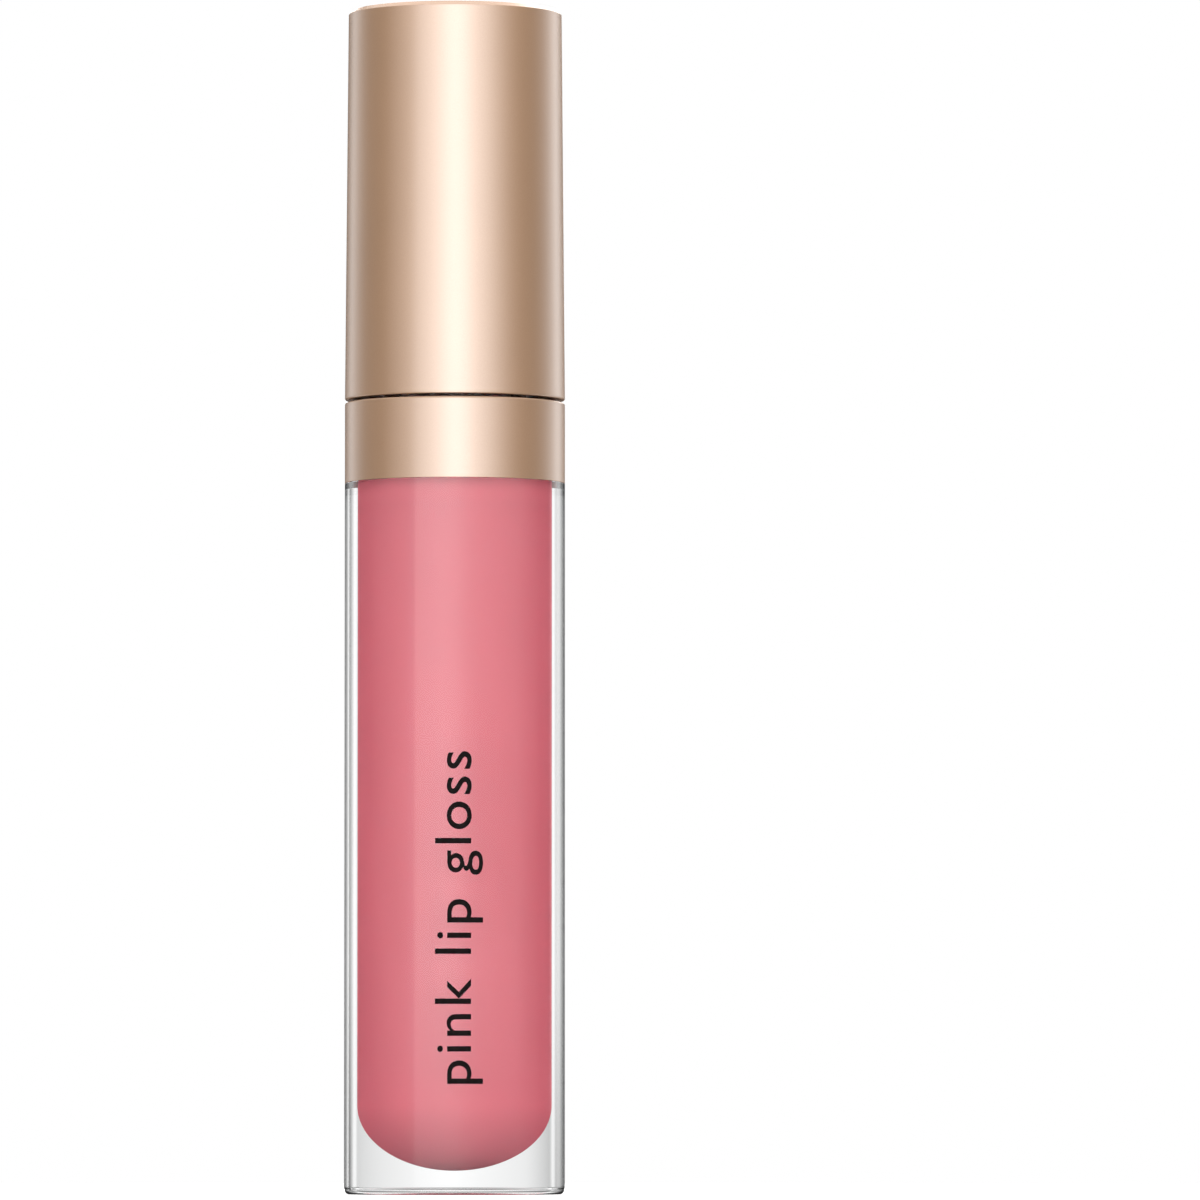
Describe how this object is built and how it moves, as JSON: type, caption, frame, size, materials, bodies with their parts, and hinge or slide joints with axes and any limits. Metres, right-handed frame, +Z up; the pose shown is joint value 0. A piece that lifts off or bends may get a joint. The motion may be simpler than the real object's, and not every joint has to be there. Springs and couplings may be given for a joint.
{
  "type": "lip gloss tube",
  "caption": "Slim clear heavy-walled bottle of pink gloss with a rose-gold collar, closed by a rose-gold screw cap that carries a stem with a flocked doe-foot tip.",
  "frame": {"origin": "centre of the base, on the surface that the tube stands on", "axes": "+Z up along the tube's axis, from the base to the cap; at rest, closed, the slanted applicator tip leans towards -X"},
  "size_m": [0.0186, 0.0186, 0.0995],
  "materials": {
    "clear_acrylic": "gloss",
    "rose_gold": "satin",
    "pink_gloss": "gloss",
    "white_polymer": "satin",
    "frosted_polymer": "satin",
    "white_foam": "matte",
    "steel_slug": "satin",
    "white_elastomer": "matte",
    "nylon_flock": "matte"
  },
  "bodies": {
    "bottle": {"bottle": "clear_acrylic", "collar": "rose_gold", "wiper": "white_polymer", "gloss_fill": "pink_gloss"},
    "seal": {"seal_washer": "white_foam"},
    "weight": {"cap_weight": "steel_slug"},
    "cap": {"cap_shell": "rose_gold", "inner_cap": "white_polymer", "stem": "frosted_polymer", "tip_core": "white_elastomer", "flock_cover": "nylon_flock", "gloss_coat": "pink_gloss"}
  },
  "joints": [
    {"name": "applicator_pull", "type": "slide", "parent": "bottle", "child": "seal", "axis": [0, 0, 1], "range_m": [0, 0.08], "deforming": ["gloss_fill", "wiper"]},
    {"name": "thread_rise", "type": "slide", "parent": "seal", "child": "weight", "axis": [0, 0, 1], "range_m": [0, 0.0045]},
    {"name": "cap_turn", "type": "hinge", "parent": "weight", "child": "cap", "pos_m": [0, 0, 0.06665], "axis": [0, 0, 1], "range_deg": [0, 540]}
  ],
  "couplings": [
    {"joint": "thread_rise", "follows": "cap_turn", "m_per_rad": 0.00047746}
  ]
}
